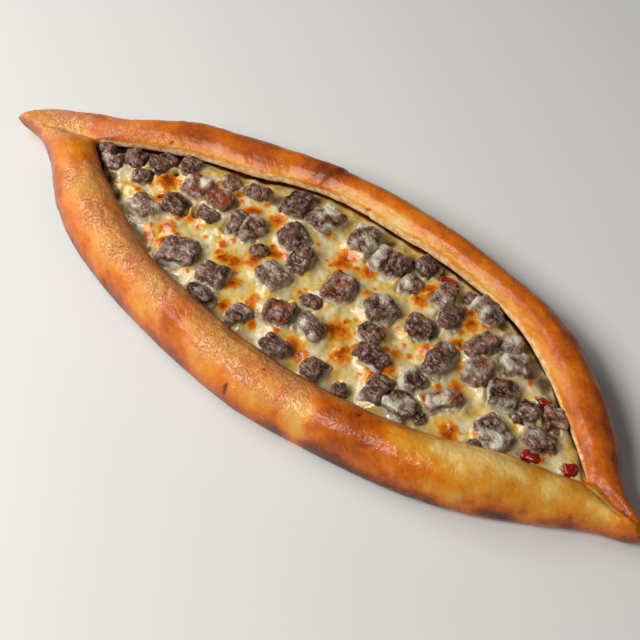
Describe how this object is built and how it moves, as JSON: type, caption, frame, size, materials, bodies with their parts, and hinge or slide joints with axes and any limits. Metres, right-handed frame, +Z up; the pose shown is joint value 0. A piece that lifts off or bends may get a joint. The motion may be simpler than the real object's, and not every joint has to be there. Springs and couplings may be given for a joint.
{
  "type": "turkish pide",
  "caption": "Boat-shaped baked flatbread with folded-in glossy rims pinched to a point at both ends, filled with melted cheese, diced meat and bits of red tomato",
  "frame": {"origin": "middle of the flat base, on the surface that the bread lies on", "axes": "+X from one pointed end to the other, +Y across the bread away from the rim that the picture shows nearest, +Z up"},
  "size_m": [0.33, 0.1212, 0.0214],
  "materials": {
    "crust": "egg-washed baked bread crust, golden brown, glossy",
    "cheese": "melted pale yellow cheese with browned spots, oily",
    "meat": "cooked diced meat, grey-brown and fibrous",
    "tomato": "cooked red tomato, wet"
  },
  "bodies": {
    "root": {"crust": "crust", "cheese": "cheese", "meat_01": "meat", "meat_02": "meat", "meat_03": "meat", "meat_04": "meat", "meat_05": "meat", "meat_06": "meat", "meat_07": "meat", "meat_08": "meat", "meat_09": "meat", "meat_10": "meat", "meat_11": "meat", "meat_12": "meat", "meat_13": "meat", "meat_14": "meat", "meat_15": "meat", "meat_16": "meat", "meat_17": "meat", "meat_18": "meat", "meat_19": "meat", "meat_20": "meat", "meat_21": "meat", "meat_22": "meat", "meat_23": "meat", "meat_24": "meat", "meat_25": "meat", "meat_26": "meat", "meat_27": "meat", "meat_28": "meat", "meat_29": "meat", "meat_30": "meat", "meat_31": "meat", "meat_32": "meat", "meat_33": "meat", "meat_34": "meat", "meat_35": "meat", "meat_36": "meat", "meat_37": "meat", "meat_38": "meat", "meat_39": "meat", "meat_40": "meat", "meat_41": "meat", "meat_42": "meat", "meat_43": "meat", "meat_44": "meat", "meat_45": "meat", "meat_46": "meat", "meat_47": "meat", "meat_48": "meat", "meat_49": "meat", "meat_50": "meat", "meat_51": "meat", "meat_52": "meat", "meat_53": "meat", "meat_54": "meat", "tomato_1": "tomato", "tomato_2": "tomato", "tomato_3": "tomato", "tomato_4": "tomato"}
  },
  "joints": []
}
